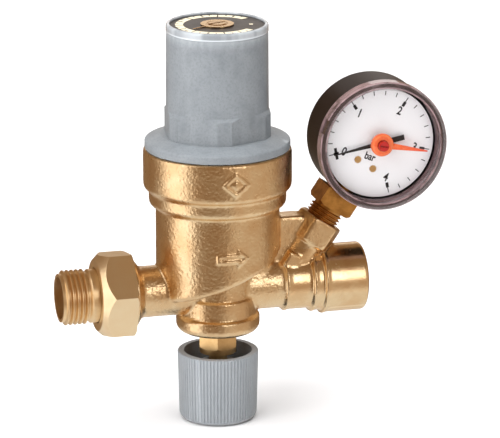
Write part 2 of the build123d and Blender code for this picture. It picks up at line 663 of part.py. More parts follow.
pieces = {
    "valve_body": valveBody, "union_nut": unionNut, "inlet_tailpiece": inletTailpiece,
    "union_gasket": unionGasket, "bonnet": bonnet, "dial_ring": dialRing, "setting_dial": settingDial,
    "setting_screw": settingScrew, "setting_indicator": settingIndicator,
    "spring_carrier": springCarrier, "setting_spring": settingSpring, "spring_plate": springPlate,
    "diaphragm": diaphragm, "slip_ring": slipRing, "diaphragm_washer": diaphragmWasher,
    "obturator": obturator, "obturator_seal": obturatorSeal, "stem_nut": stemNut,
    "seat_cartridge": seatCartridge, "cartridge_o_ring": cartridgeRing, "stem_guide": stemGuide,
    "strainer": strainer, "shutoff_plug": shutoffPlug, "plug_seal": plugSeal,
    "shutoff_spindle": shutoffSpindle, "gland": gland, "gland_o_ring": glandRing, "knob": knob,
    "knob_screw": knobScrew, "check_housing": checkHousing, "check_o_ring": checkRing,
    "check_poppet": checkPoppet, "check_spring": checkSpring, "gauge_stem": gaugeStem,
    "gauge_washer": gaugeWasher, "gauge_case": gaugeCase, "gauge_lens": gaugeLens,
    "dial_plate": dialPlate, "dial_screws": dialScrews, "movement_front_plate": frontPlate,
    "movement_back_plate": backPlate, "pinion_shaft": pinionShaft, "sector_gear": sectorGear,
    "bourdon_tube": bourdonTube, "tube_link": tubeLink, "hairspring": hairspring,
    "gauge_needle": gaugeNeedle, "set_pointer": setPointer,
}

os.makedirs("parts", exist_ok=True)
for node, make in pieces.items():
    made = make()
    if isinstance(made, list):
        made = Compound(children=made)
    export_step(made, f"parts/{node}.step")
    print(node, round(made.volume, 1), len(made.solids()))
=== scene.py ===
import json
import math

import bmesh
import bpy
import numpy as np
from mathutils import Matrix, Vector

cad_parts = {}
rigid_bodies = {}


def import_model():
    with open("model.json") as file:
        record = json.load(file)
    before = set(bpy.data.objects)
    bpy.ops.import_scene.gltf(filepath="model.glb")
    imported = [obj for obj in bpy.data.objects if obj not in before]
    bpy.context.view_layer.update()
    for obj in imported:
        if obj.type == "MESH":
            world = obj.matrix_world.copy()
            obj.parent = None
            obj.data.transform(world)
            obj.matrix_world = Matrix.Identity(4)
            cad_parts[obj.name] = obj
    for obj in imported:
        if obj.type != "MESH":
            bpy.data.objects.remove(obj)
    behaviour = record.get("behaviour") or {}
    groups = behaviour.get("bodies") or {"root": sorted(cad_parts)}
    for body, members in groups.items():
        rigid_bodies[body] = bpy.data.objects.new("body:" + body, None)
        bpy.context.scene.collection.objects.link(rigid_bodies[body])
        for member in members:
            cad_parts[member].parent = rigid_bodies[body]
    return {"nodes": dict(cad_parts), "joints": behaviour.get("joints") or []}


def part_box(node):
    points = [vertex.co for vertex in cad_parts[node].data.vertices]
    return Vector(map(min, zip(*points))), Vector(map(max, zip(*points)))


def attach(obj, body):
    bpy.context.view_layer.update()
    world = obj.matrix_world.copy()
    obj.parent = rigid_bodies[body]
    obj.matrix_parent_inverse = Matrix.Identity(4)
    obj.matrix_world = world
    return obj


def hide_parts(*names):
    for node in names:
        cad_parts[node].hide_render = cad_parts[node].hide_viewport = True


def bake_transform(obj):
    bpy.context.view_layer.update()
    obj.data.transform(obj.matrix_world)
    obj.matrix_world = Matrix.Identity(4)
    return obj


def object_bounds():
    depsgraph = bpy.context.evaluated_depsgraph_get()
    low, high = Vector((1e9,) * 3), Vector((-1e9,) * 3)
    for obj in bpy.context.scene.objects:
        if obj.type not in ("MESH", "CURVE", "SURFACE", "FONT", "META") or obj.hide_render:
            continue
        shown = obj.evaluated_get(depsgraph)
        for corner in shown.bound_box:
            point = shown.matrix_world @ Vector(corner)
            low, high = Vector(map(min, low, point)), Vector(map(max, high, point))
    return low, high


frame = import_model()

# Pressure reducing valve: materials, printed dials, cast skin of the body, camera and studio.
# Metres; values that end in Mm are millimetres.

mm = 0.001
nodes = frame["nodes"]
cadLow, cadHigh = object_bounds()
print("frame loaded:", len(nodes), "nodes")


# shader helpers

class Signal:
    # one output socket; sums, differences and products of signals become Math nodes
    def __init__(self, recipe, node, key=0):
        self.recipe = recipe
        self.node = node
        self.socket = node.outputs[key]

    def pick(self, key):
        return Signal(self.recipe, self.node, key)

    def math(self, operation, first, second):
        return self.recipe.add("ShaderNodeMath", {"operation": operation}, {0: first, 1: second})

    def __add__(self, other):
        return self.math("ADD", self, other)

    def __radd__(self, other):
        return self.math("ADD", other, self)

    def __sub__(self, other):
        return self.math("SUBTRACT", self, other)

    def __rsub__(self, other):
        return self.math("SUBTRACT", other, self)

    def __mul__(self, other):
        return self.math("MULTIPLY", self, other)

    def __rmul__(self, other):
        return self.math("MULTIPLY", other, self)

    def most(self, other):
        return self.math("MAXIMUM", self, other)

    def ramp(self, low, high):
        # 0 below low, 1 above high, smooth between
        settings = {"interpolation_type": "SMOOTHSTEP", "clamp": True}
        sockets = {"Value": self, "From Min": low, "From Max": high}
        return self.recipe.add("ShaderNodeMapRange", settings, sockets)


class Nodes:
    # a node tree and the one method that adds nodes to it
    def __init__(self, tree):
        self.tree = tree
        self.tree.nodes.clear()

    def add(self, kind, settings, sockets, key=0):
        node = self.tree.nodes.new(kind)
        for name, value in settings.items():
            setattr(node, name, value)
        for name, value in sockets.items():
            self.feed(node.inputs[name], value)
        return node if key is None else Signal(self, node, key)

    def feed(self, socket, value):
        if isinstance(value, Signal):
            self.tree.links.new(value.socket, socket)
        else:
            socket.default_value = value

    def mix(self, share, first, second):
        # colours by share; 6, 7 and 2 are the colour sockets of a Mix node
        sockets = {"Factor": share, 6: rgba(first), 7: rgba(second)}
        return self.add("ShaderNodeMix", {"data_type": "RGBA"}, sockets, 2)


class Recipe(Nodes):
    # one material; finish holds what is the same all over it
    def __init__(self, name, finish):
        self.material = bpy.data.materials.new(name)
        self.material.use_nodes = True
        super().__init__(self.material.node_tree)
        self.surface = self.add("ShaderNodeBsdfPrincipled", {}, finish)
        self.output = self.add("ShaderNodeOutputMaterial", {}, {"Surface": self.surface}, None)
        self.where = self.vector("SCALE", self.add("ShaderNodeTexCoord", {}, {}, "Object"), Scale=1 / mm)

    def give(self, **sockets):
        # Base_Color=... and so on, on the principled shader
        for name, value in sockets.items():
            self.feed(self.surface.node.inputs[name.replace("_", " ")], value)
        return self

    def vector(self, operation, first, second=(0, 0, 0), key="Vector", **more):
        sockets = {0: first, 1: second, **more}
        return self.add("ShaderNodeVectorMath", {"operation": operation}, sockets, key)

    def axes(self):
        parts = self.add("ShaderNodeSeparateXYZ", {}, {0: self.where})
        return parts, parts.pick("Y"), parts.pick("Z")

    def noise(self, grainMm, detail, rough, place=None, stretch=(1, 1, 1), distort=0.0):
        spot = self.vector("MULTIPLY", place or self.where, stretch)
        grain = {"Scale": 1 / grainMm, "Detail": detail, "Roughness": rough, "Distortion": distort}
        return self.add("ShaderNodeTexNoise", {}, {"Vector": spot, **grain})

    def cells(self, grainMm):
        sockets = {"Vector": self.where, "Scale": 1 / grainMm}
        return self.add("ShaderNodeTexVoronoi", {}, sockets, "Distance")

    def bump(self, height, depthMm, strength=1.0, under=None):
        sockets = {"Height": height, "Distance": depthMm * mm, "Strength": strength}
        if under is not None:
            sockets["Normal"] = under
        return self.add("ShaderNodeBump", {}, sockets)

    def softEdges(self, radiusMm):
        return self.add("ShaderNodeBevel", {}, {"Radius": radiusMm * mm})

    def pointed(self):
        return self.add("ShaderNodeNewGeometry", {}, {}, "Pointiness")

    def turned(self, centre, axis):
        # axial distance and radius about a line, for marks that follow a lathe
        offset = self.vector("SUBTRACT", self.where, [value / mm for value in centre])
        along = self.vector("DOT_PRODUCT", offset, axis, "Value")
        across = self.vector("SUBTRACT", offset, self.vector("SCALE", list(axis), Scale=along))
        return along, self.vector("LENGTH", across, key="Value")

    def latheMarks(self, centre, axis, pitchMm):
        along, radius = self.turned(centre, axis)
        spot = self.add("ShaderNodeCombineXYZ", {}, {"X": along, "Y": radius})
        return self.noise(pitchMm, 2.0, 0.6, spot)


def rgba(colour):
    if isinstance(colour, Signal):
        return colour
    return (*colour, 1)


def paint(recipe, *names):
    for name in names:
        slots = nodes[name].data.materials
        slots.clear()
        slots.append(recipe.material)


# brass

xAxis, zAxis = (1, 0, 0), (0, 0, 1)
pipeCentre = (0, 0, 0)    # where the pipe line crosses the upright axis

castBrass = {
    "pale": (0.88, 0.69, 0.43),
    "deep": (0.80, 0.56, 0.31),
    # painted shade for the hollows of the casting
    "recessShadeTone": (0.42, 0.22, 0.08),
    "roughLow": 0.24,
    "roughHigh": 0.34,
    "grainMm": 1.0,
    "grainDepthMm": 0.17,
    "edge": (0.98, 0.80, 0.52),
    "turnedOutletMm": 24.6,   # the pipe ends are turned beyond these distances
    "turnedInletMm": 32.0,
    "turnedTopMm": 14.0,
    "turnedPitchMm": 0.22,
    "turnedDepthMm": 0.006,
}

# the union nut is the same metal, worked all over and paler
nutBrass = {
    **castBrass,
    "pale": (0.97, 0.80, 0.54),
    "deep": (0.93, 0.71, 0.44),
    "grainMm": 0.55,
    "grainDepthMm": 0.05,
    "roughLow": 0.32,
    "roughHigh": 0.42,
}


def castSkin(name, look, turnedEnds):
    recipe = Recipe(name, {"Metallic": 1.0, "Coat Weight": 0.12, "Coat Roughness": 0.18})
    cloud = recipe.noise(9.0, 3.0, 0.55)
    mottle = recipe.noise(1.6, 2.0, 0.6)
    grain = recipe.noise(look["grainMm"], 2.5, 0.55, distort=0.4)
    pits = recipe.cells(1.3)
    point = recipe.pointed()
    edge = point.ramp(0.515, 0.57)
    # painted shade: where pointiness is low, in the hollows, the colour goes towards a deep brown
    recessShadeMask = 1 - point.ramp(0.40, 0.475)
    tone = recipe.mix(cloud.ramp(0.30, 0.72), look["deep"], look["pale"])
    tone = recipe.mix(mottle.ramp(0.45, 0.75) * 0.22, tone, look["deep"])
    tone = recipe.mix(edge * 0.55, tone, look["edge"])
    tone = recipe.mix(recessShadeMask * 0.4, tone, look["recessShadeTone"])
    rough = look["roughLow"] + (look["roughHigh"] - look["roughLow"]) * mottle + recessShadeMask * 0.15
    height = (grain * 0.8 + pits * 0.4) * look["grainDepthMm"]
    if turnedEnds:
        x, y, z = recipe.axes()
        outlet = x.ramp(look["turnedOutletMm"] - 0.4, look["turnedOutletMm"] + 0.4)
        inlet = (-1 * x).ramp(look["turnedInletMm"], look["turnedInletMm"] + 0.8)
        turned = outlet.most(inlet) * (1 - z.ramp(look["turnedTopMm"], look["turnedTopMm"] + 1))
        marks = recipe.latheMarks(pipeCentre, xAxis, look["turnedPitchMm"])
        rough = rough - turned * 0.04
        height = height * (1 - turned * 0.75) + marks * turned * look["turnedDepthMm"]
    return recipe.give(Base_Color=tone, Roughness=rough, Normal=recipe.bump(height, 1.0))


turnedBrass = {
    "pale": (0.90, 0.64, 0.32),
    "deep": (0.62, 0.37, 0.14),
    # painted shade for the hollows of turned parts
    "recessShadeDark": (0.20, 0.10, 0.035),
    "lineMm": 0.14,
}

gaugeBrass = {**turnedBrass, "pale": (0.70, 0.37, 0.10), "deep": (0.36, 0.16, 0.04), "lineMm": 0.2}
threadBrass = {**turnedBrass, "pale": (0.95, 0.73, 0.44)}
screwBrass = {**turnedBrass, "lineMm": 0.1}
steel = {**turnedBrass, "pale": (0.70, 0.70, 0.69), "deep": (0.46, 0.46, 0.47), "lineMm": 0.12}


def turnedSkin(name, look, centre, axis, roughness=0.24, stain=0.4):
    recipe = Recipe(name, {"Metallic": 1.0, "Coat Weight": 0.1, "Coat Roughness": 0.15})
    marks = recipe.latheMarks(centre, axis, look["lineMm"])
    coarse = recipe.latheMarks(centre, axis, look["lineMm"] * 5)
    cloud = recipe.noise(4.0, 3.0, 0.6)
    # painted shade: where pointiness is low, in the hollows, the colour goes half way to near black
    recessShadeMask = 1 - recipe.pointed().ramp(0.36, 0.47)
    tone = recipe.mix(cloud.ramp(0.3, 0.7) * stain, look["pale"], look["deep"])
    tone = recipe.mix(marks.ramp(0.4, 0.8) * 0.25, tone, look["deep"])
    tone = recipe.mix(recessShadeMask * 0.5, tone, look["recessShadeDark"])
    rough = roughness + 0.14 * cloud + 0.08 * marks
    normal = recipe.bump(marks * 0.7 + coarse * 0.3, 0.02, 0.9, recipe.softEdges(0.12))
    return recipe.give(Base_Color=tone, Roughness=rough, Normal=normal)


# the gauge's own frame, from its two arbors

joints = {joint["name"]: joint for joint in frame["joints"]}
gaugeCentre = Vector(joints["needle_turn"]["pos_m"])
gaugeUp = (Vector(joints["sector_turn"]["pos_m"]) - gaugeCentre).normalized()
gaugeOut = Vector((0, -1, 0))
gaugeRight = gaugeUp.cross(gaugeOut)
gaugeMatrix = Matrix((gaugeRight, gaugeUp, gaugeOut)).transposed()

# plastics and rubber

plainPlastic = {
    "bonnet": {
        "light": (0.242, 0.263, 0.282), "dark": (0.155, 0.173, 0.189),
        "rough": 0.42, "grainMm": 0.36, "depthMm": 0.018,
    },
    "knob": {
        "light": (0.34, 0.365, 0.39), "dark": (0.27, 0.295, 0.32),
        "rough": 0.40, "grainMm": 0.30, "depthMm": 0.010,
    },
    "case": {
        "light": (0.010, 0.006, 0.006), "dark": (0.005, 0.003, 0.003),
        "rough": 0.36, "grainMm": 0.5, "depthMm": 0.006,
        # painted light: a pale band on the black inner wall in front of the dial
        "inside": (0.50, 0.41, 0.41), "insideMm": 22.85, "dialMm": 7.6,
    },
    "acetal": {
        "light": (0.80, 0.80, 0.75), "dark": (0.70, 0.70, 0.65),
        "rough": 0.38, "grainMm": 0.6, "depthMm": 0.006,
    },
    "black": {
        "light": (0.020, 0.018, 0.018), "dark": (0.010, 0.009, 0.009),
        "rough": 0.34, "grainMm": 0.35, "depthMm": 0.004,
    },
    "rubber": {
        "light": (0.045, 0.045, 0.046), "dark": (0.022, 0.022, 0.022),
        "rough": 0.62, "grainMm": 0.25, "depthMm": 0.012,
    },
    "fibre": {
        "light": (0.38, 0.13, 0.07), "dark": (0.22, 0.06, 0.03),
        "rough": 0.75, "grainMm": 0.3, "depthMm": 0.03,
    },
}


def moulded(name, look, edgeTone=None, edgeMm=0.25):
    recipe = Recipe(name, {"Metallic": 0.0})
    cloud = recipe.noise(7.0, 3.0, 0.5)
    grain = recipe.noise(look["grainMm"], 2.0, 0.6)
    speck = recipe.noise(look["grainMm"] * 2.4, 3.0, 0.7)
    flow = recipe.noise(3.0, 2.0, 0.5, stretch=(1, 1, 0.25))
    tone = recipe.mix((cloud * 0.6 + flow * 0.4).ramp(0.1, 0.6), look["dark"], look["light"])
    tone = recipe.mix(speck.ramp(0.42, 0.70) * 0.5, tone, look["dark"])
    if edgeTone:
        worn = recipe.pointed().ramp(0.54, 0.62)
        tone = recipe.mix(worn * 0.35, tone, edgeTone)
    rough = look["rough"] + 0.12 * (grain - 0.5) + 0.10 * (flow - 0.5)
    normal = recipe.bump(grain * 0.4 + speck * 0.6, look["depthMm"], 1.0, recipe.softEdges(edgeMm))
    return recipe.give(Base_Color=tone, Roughness=rough, Normal=normal)


# cast skin: the body's shape with the soft blends of a casting

castBody = {
    "voxelMm": 0.38,
    "softRounds": 14,
    "crispRounds": 2,
    "outletMm": 36.2,              # past here the outlet is turned and stays crisp
    "boreMm": (9.9, 25),           # radius of the outlet bore and where it starts
    "socketMm": (25.4, 38),        # radius and foot of the screwed socket
    "footMm": (17, -2),            # radius and top of the steps at the foot
    "markMm": (8, 20),             # half width of the raised marks and how far forward they are
    "arrowMm": (17.3, 4.5),        # height of the arrow and half its size
    "lozengeMm": (47.2, 6.5),
}


def meshArrays(mesh):
    points = np.empty(len(mesh.vertices) * 3)
    mesh.vertices.foreach_get("co", points)
    edges = np.empty(len(mesh.edges) * 2, int)
    mesh.edges.foreach_get("vertices", edges)
    return points.reshape(-1, 3), edges.reshape(-1, 2)


def relax(points, edges, share):
    total = np.zeros_like(points)
    count = np.zeros(len(points))
    for here, there in ((0, 1), (1, 0)):
        for axis in range(3):
            total[:, axis] += np.bincount(edges[:, here], points[edges[:, there], axis], len(points))
        count += np.bincount(edges[:, here], minlength=len(points))
    return points + (total / count[:, None] - points) * share[:, None]


def crispParts(points):
    look = castBody
    x, y, z = points.T
    pipe = np.hypot(y, z)
    upright = np.hypot(x, y)
    boreR, boreStart = look["boreMm"]
    socketR, socketLow = look["socketMm"]
    footR, footTop = look["footMm"]
    side, front = look["markMm"]
    crisp = (x > look["outletMm"]) | ((x > boreStart) & (pipe < boreR))
    crisp |= (upright < socketR) & (z > socketLow)
    crisp |= (upright < footR) & (z < footTop)
    for height, half in (look["arrowMm"], look["lozengeMm"]):
        crisp |= (y < -front) & (abs(x) < side) & (abs(z - height) < half)
    return crisp


def makeCastBody():
    piece = bpy.data.objects.new("cast_body_skin", nodes["valve_body"].data.copy())
    bpy.context.scene.collection.objects.link(piece)
    remesh = piece.modifiers.new("remesh", "REMESH")
    remesh.mode = "VOXEL"
    remesh.voxel_size = castBody["voxelMm"] * mm
    graph = bpy.context.evaluated_depsgraph_get()
    mesh = bpy.data.meshes.new_from_object(piece.evaluated_get(graph))
    piece.modifiers.clear()
    piece.data = mesh
    points, edges = meshArrays(mesh)
    soft = np.where(crispParts(points / mm), 0.0, 0.5)
    for turn in range(castBody["softRounds"]):
        points = relax(points, edges, soft)
    for turn in range(castBody["crispRounds"]):
        points = relax(points, edges, np.full(len(points), 0.5))
    mesh.vertices.foreach_set("co", points.ravel())
    mesh.update()
    mesh.shade_smooth()
    mesh.materials.clear()
    mesh.materials.append(castSkin("cast_brass_body", castBrass, True).material)
    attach(piece, "valve")
    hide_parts("valve_body")
    print("cast body:", len(mesh.polygons), "faces")


# flat print: bars, bands and numerals a few hundredths of a millimetre thick

def outward(angle):
    return Vector((math.cos(math.radians(angle)), math.sin(math.radians(angle))))


class Print:
    # collects flat shapes in millimetres on a plane and makes them one thin piece
    def __init__(self, thickMm):
        self.shapes = bmesh.new()
        self.thick = thickMm

    def outline(self, corners):
        low = [self.shapes.verts.new((x, y, 0)) for x, y in corners]
        high = [self.shapes.verts.new((x, y, self.thick)) for x, y in corners]
        count = len(corners)
        self.shapes.faces.new(high)
        self.shapes.faces.new(low[::-1])
        for k in range(count):
            self.shapes.faces.new((low[k], low[(k + 1) % count], high[(k + 1) % count], high[k]))

    def bar(self, low, high, angle, width):
        # a bar along a radius
        out = outward(angle)
        side = Vector((-out.y, out.x))
        ends = ((low, -width), (high, -width), (high, width), (low, width))
        self.outline([tuple(out * radius + side * half / 2) for radius, half in ends])

    def band(self, low, high, first, last):
        steps = max(2, int(abs(last - first) / 3))
        angles = [math.radians(first + (last - first) * k / steps) for k in range(steps + 1)]
        for a, b in zip(angles, angles[1:]):
            corners = ((low, a), (high, a), (high, b), (low, b))
            self.outline([(far * math.cos(angle), far * math.sin(angle)) for far, angle in corners])

    def words(self, text, place, size, turn, weight):
        # centred on place; the letters are a little narrower than the font's
        curve = bpy.data.curves.new("lettering", "FONT")
        curve.body = text
        curve.size = size
        curve.align_x = "CENTER"
        curve.align_y = "CENTER"
        curve.offset = weight
        curve.extrude = self.thick / 2
        letters = bpy.data.objects.new("lettering", curve)
        mesh = bpy.data.meshes.new_from_object(letters)
        mesh.transform(Matrix.Diagonal((0.82, 1, 1, 1)))
        mesh.transform(Matrix.Rotation(math.radians(turn), 4, "Z"))
        mesh.transform(Matrix.Translation((*place, self.thick / 2)))
        self.shapes.from_mesh(mesh)
        bpy.data.objects.remove(letters)

    def piece(self, name, matrix, recipe, body, slotName):
        mesh = bpy.data.meshes.new(name)
        bmesh.ops.recalc_face_normals(self.shapes, faces=self.shapes.faces)
        self.shapes.to_mesh(mesh)
        self.shapes.free()
        mesh.transform(matrix @ Matrix.Scale(mm, 4))
        mesh.materials.append(recipe.material)
        made = bpy.data.objects.new(name, mesh)
        bpy.context.scene.collection.objects.link(made)
        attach(made, body)
        return made


def ink(name, pale, dark, rough):
    recipe = Recipe(name, {"Metallic": 0.0})
    blot = recipe.noise(0.5, 3.0, 0.6)
    tone = recipe.mix(blot.ramp(0.35, 0.75), dark, pale)
    return recipe.give(Base_Color=tone, Roughness=rough + 0.15 * blot, Normal=recipe.bump(blot, 0.004))


def gaugePlane(heightMm):
    plane = gaugeMatrix.to_4x4()
    plane.translation = gaugeCentre + gaugeOut * heightMm * mm
    return plane


gaugeScale = {
    "zeroAngle": 225.0,
    "sweep": 270.0,
    "bars": 4,
    "minorPerBar": 5,
    "minorMm": (18.5, 20.2),
    "lineMm": (18.2, 20.3),
    "blockMm": (16.3, 18.3),
    "numeralMm": 14.2,
    "numeralSize": 4.6,
    "numeralWeight": 0.10,
    "leanAngle": 12.0,        # numerals stand a little straighter than the scale
    "lineWide": 0.34,
    "blockWide": 1.15,
    "stopMm": (1.1, 4.6),     # the bar across the zero line
    "thickMm": 0.03,
    "riseMm": 0.005,
    "unitPlace": (0.0, -6.5),
    "unitSize": 4.0,
}


def makeGaugePrint():
    look = gaugeScale
    faceMm = -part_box("dial_plate")[0].y / mm
    sheet = Print(look["thickMm"])
    steps = look["bars"] * look["minorPerBar"]
    for k in range(steps + 1):
        angle = look["zeroAngle"] - look["sweep"] * k / steps
        if k % look["minorPerBar"]:
            sheet.bar(*look["minorMm"], angle, look["lineWide"])
            continue
        sheet.bar(*look["lineMm"], angle, look["lineWide"])
        sheet.bar(*look["blockMm"], angle, look["blockWide"])
        place = outward(angle) * look["numeralMm"]
        numeral = str(k // look["minorPerBar"])
        sheet.words(numeral, place, look["numeralSize"], look["leanAngle"], look["numeralWeight"])
    stopThick, stopLong = look["stopMm"]
    middle = sum(look["blockMm"]) / 2
    sheet.bar(middle - stopThick / 2, middle + stopThick / 2, look["zeroAngle"], stopLong)
    sheet.words("bar", look["unitPlace"], look["unitSize"], look["leanAngle"], look["numeralWeight"])
    printed = ink("dial_ink", (0.020, 0.018, 0.020), (0.008, 0.008, 0.010), 0.45)
    sheet.piece("gauge_scale_print", gaugePlane(faceMm + look["riseMm"]), printed, "valve", "needle_black")
    print("gauge scale printed")


settingScale = {
    "bandMm": (12.8, 15.8),
    "firstAngle": 314.0,      # the band runs clockwise, seen from above
    "lastAngle": 27.0,
    "parts": 24,
    "partsPerNumber": 4,
    "tickWide": 0.42,
    "numeralMm": 14.3,
    "numeralSize": 2.5,
    "numeralWeight": 0.03,
    "dotMm": (12.0, 13.4),
    "dotAngle": -12,
    "dotWide": 1.5,
    "thickMm": 0.03,
    "bandRiseMm": 0.005,
    "markRiseMm": 0.045,
}


def makeSettingPrint():
    look = settingScale
    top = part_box("setting_dial")[1].z
    low, high = look["bandMm"]
    band = Print(look["thickMm"])
    band.band(low, high, look["lastAngle"], look["firstAngle"])
    band.bar(*look["dotMm"], look["dotAngle"], look["dotWide"])
    cream = ink("scale_cream", (0.86, 0.79, 0.62), (0.74, 0.66, 0.48), 0.42)
    plane = Matrix.Translation((0, 0, top + look["bandRiseMm"] * mm))
    band.piece("setting_scale_band", plane, cream, "valve", "white_plastic")
    marks = Print(look["thickMm"])
    step = (look["firstAngle"] - look["lastAngle"]) / look["parts"]
    every = look["partsPerNumber"]
    for k in range(look["parts"] + 1):
        reach = (low + high) / 2 + 0.3 if k % every else low - 0.1
        marks.bar(reach, high + 0.1, look["firstAngle"] - step * k, look["tickWide"])
    for k in range(look["parts"] // every):
        angle = look["firstAngle"] - step * every * (k + 0.5)
        place = outward(angle) * look["numeralMm"]
        marks.words(str(k + 1), place, look["numeralSize"], angle + 90, look["numeralWeight"])
    black = ink("scale_black", (0.020, 0.017, 0.016), (0.010, 0.008, 0.008), 0.4)
    plane = Matrix.Translation((0, 0, top + look["markRiseMm"] * mm))
    marks.piece("setting_scale_marks", plane, black, "valve", "dial_black")
    print("setting scale printed")


# the clear lens: a thin window inside a thicker snap rim

lensLook = {
    "rimMm": 22.3,
    "innerLineMm": (22.75, 23.1),
    "edgeMm": 24.55,
    # behind the skirt line the rim gets a painted pink highlight
    "skirtMm": (9.9, 10.5),      # the rim is paler behind this
    "mauve": (0.050, 0.032, 0.034),
    # painted highlight colour for the rim's edges and streaks
    "paintedHighlightPink": (0.40, 0.27, 0.28),
    "clear": (0.995, 0.99, 0.992),
}


def lensSkin(look):
    recipe = Recipe("lens_clear", {"Roughness": 0.08, "Coat Weight": 1.0, "Coat Roughness": 0.03})
    along, radius = recipe.turned(gaugeCentre, gaugeOut)
    rim = radius.ramp(look["rimMm"] - 0.15, look["rimMm"] + 0.15)
    streak = recipe.noise(5.0, 3.0, 0.6)
    outer = radius.ramp(look["edgeMm"] - 0.15, look["edgeMm"] + 0.2)
    inner = 1 - radius.ramp(*look["innerLineMm"])
    skirt = 1 - along.ramp(*look["skirtMm"])
    # painted highlights: pale pink lines at the outer edge, behind the skirt and at the inner edge of the
    # rim, and pink streaks across it
    line = outer.most(skirt).most(inner) * streak.ramp(0.2, 0.6)
    tone = recipe.mix(line, look["mauve"], look["paintedHighlightPink"])
    tone = recipe.mix(streak.ramp(0.55, 0.8) * 0.4, tone, look["paintedHighlightPink"])
    tone = recipe.mix(rim, (0.0, 0.0, 0.0), tone)
    recipe.give(Base_Color=tone, Normal=recipe.bump(streak, 0.02))
    clear = recipe.add("ShaderNodeBsdfTransparent", {}, {"Color": rgba(look["clear"])})
    glare = recipe.add("ShaderNodeFresnel", {}, {"IOR": 1.3})
    body = (rim * 0.72).most(glare * (1 - rim) * 0.35)
    blend = recipe.add("ShaderNodeMixShader", {}, {0: body, 1: clear, 2: recipe.surface})
    recipe.feed(recipe.output.inputs["Surface"], blend)
    return recipe


pointerLook = {
    "orange": (0.93, 0.12, 0.02),
    "pale": (0.98, 0.30, 0.11),
    "red": (0.40, 0.002, 0.002),
    "arm": (0.80, 0.06, 0.03),
    "studMm": 2.15,
    "ridgeMm": (3.4, 4.15),      # the raised ring on the hub
    "armMm": (6.0, 17.0),
}


def pointerSkin(look):
    recipe = Recipe("pointer_orange", {"Coat Weight": 0.5, "Coat Roughness": 0.08})
    along, radius = recipe.turned(gaugeCentre, gaugeOut)
    stud = 1 - radius.ramp(look["studMm"] - 0.1, look["studMm"] + 0.15)
    ridgeLow, ridgeHigh = look["ridgeMm"]
    ridge = radius.ramp(ridgeLow - 0.1, ridgeLow + 0.1)
    ridge = ridge * (1 - radius.ramp(ridgeHigh - 0.15, ridgeHigh + 0.15))
    cloud = recipe.noise(1.2, 3.0, 0.6)
    tone = recipe.mix(cloud.ramp(0.3, 0.8) * 0.5 + ridge * 0.3, look["orange"], look["pale"])
    tone = recipe.mix(stud, tone, look["red"])
    tone = recipe.mix(radius.ramp(*look["armMm"]) * 0.6, tone, look["arm"])
    normal = recipe.bump(cloud, 0.01, 1.0, recipe.softEdges(0.1))
    return recipe.give(Base_Color=tone, Roughness=0.28 + 0.1 * cloud, Normal=normal)


ringLook = {
    "base": plainPlastic["bonnet"]["light"],
    # painted highlight tones: pale patches round the ring and a bright line at its lower edge
    "paintedHighlightTone": (0.62, 0.66, 0.70),
    "line": (0.66, 0.70, 0.74),
    "lineMm": 0.7,
}


def ringSkin(look):
    # a clear grey ring with painted highlights: pale patches round it and a bright line along its lower
    # edge
    recipe = Recipe("ring_clear_grey", {"Coat Weight": 0.8, "Coat Roughness": 0.06})
    x, y, z = recipe.axes()
    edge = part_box("dial_ring")[0].z / mm + look["lineMm"]
    paintedHighlightPatches = recipe.noise(9.0, 2.0, 0.5, stretch=(1, 1, 0.05)).ramp(0.42, 0.60)
    fine = recipe.noise(0.5, 3.0, 0.6)
    line = 1 - z.ramp(edge - 0.2, edge + 0.2)
    tone = recipe.mix(paintedHighlightPatches * 0.45 + fine * 0.15, look["base"], look["paintedHighlightTone"])
    tone = recipe.mix(line * 0.8, tone, look["line"])
    normal = recipe.bump(paintedHighlightPatches + fine * 0.1, 0.02, 1.0, recipe.softEdges(0.3))
    return recipe.give(Base_Color=tone, Roughness=0.16 + 0.1 * paintedHighlightPatches, Normal=normal)


def caseSkin(look):
    # black outside, and painted light inside: a pale band on the black inner wall in front of the dial
    recipe = Recipe("case_black", {"Specular IOR Level": 0.22})
    along, radius = recipe.turned(gaugeCentre, gaugeOut)
    cloud = recipe.noise(7.0, 3.0, 0.5)
    grain = recipe.noise(look["grainMm"], 3.0, 0.6)
    inside = 1 - radius.ramp(look["insideMm"], look["insideMm"] + 0.15)
    inside = inside * along.ramp(look["dialMm"], look["dialMm"] + 0.4)
    tone = recipe.mix((cloud * 0.6 + grain * 0.4).ramp(0.3, 0.7), look["dark"], look["light"])
    tone = recipe.mix(inside, tone, look["inside"])
    normal = recipe.bump(grain, look["depthMm"], 1.0, recipe.softEdges(0.3))
    return recipe.give(Base_Color=tone, Roughness=look["rough"] + 0.1 * (grain - 0.5), Normal=normal)


dialLook = {
    "white": (0.985, 0.985, 0.99),
    "cloud": (0.93, 0.94, 0.95),
    # painted shade: the dial darkens towards the case rim between these radii
    "edge": (0.70, 0.66, 0.67),
    "edgeMm": (19.5, 21.4),
}


def dialSkin(look):
    recipe = Recipe("dial_white", {})
    along, radius = recipe.turned(gaugeCentre, gaugeOut)
    cloud = recipe.noise(6.0, 3.0, 0.5)
    fine = recipe.noise(0.3, 2.0, 0.5)
    tone = recipe.mix(cloud * 0.4, look["cloud"], look["white"])
    # painted shade on the outer ring of the dial, next to the case rim
    tone = recipe.mix(radius.ramp(*look["edgeMm"]) * 0.25, tone, look["edge"])
    return recipe.give(Base_Color=tone, Roughness=0.42 + 0.1 * fine, Normal=recipe.bump(fine, 0.003))


# every node gets its finish here

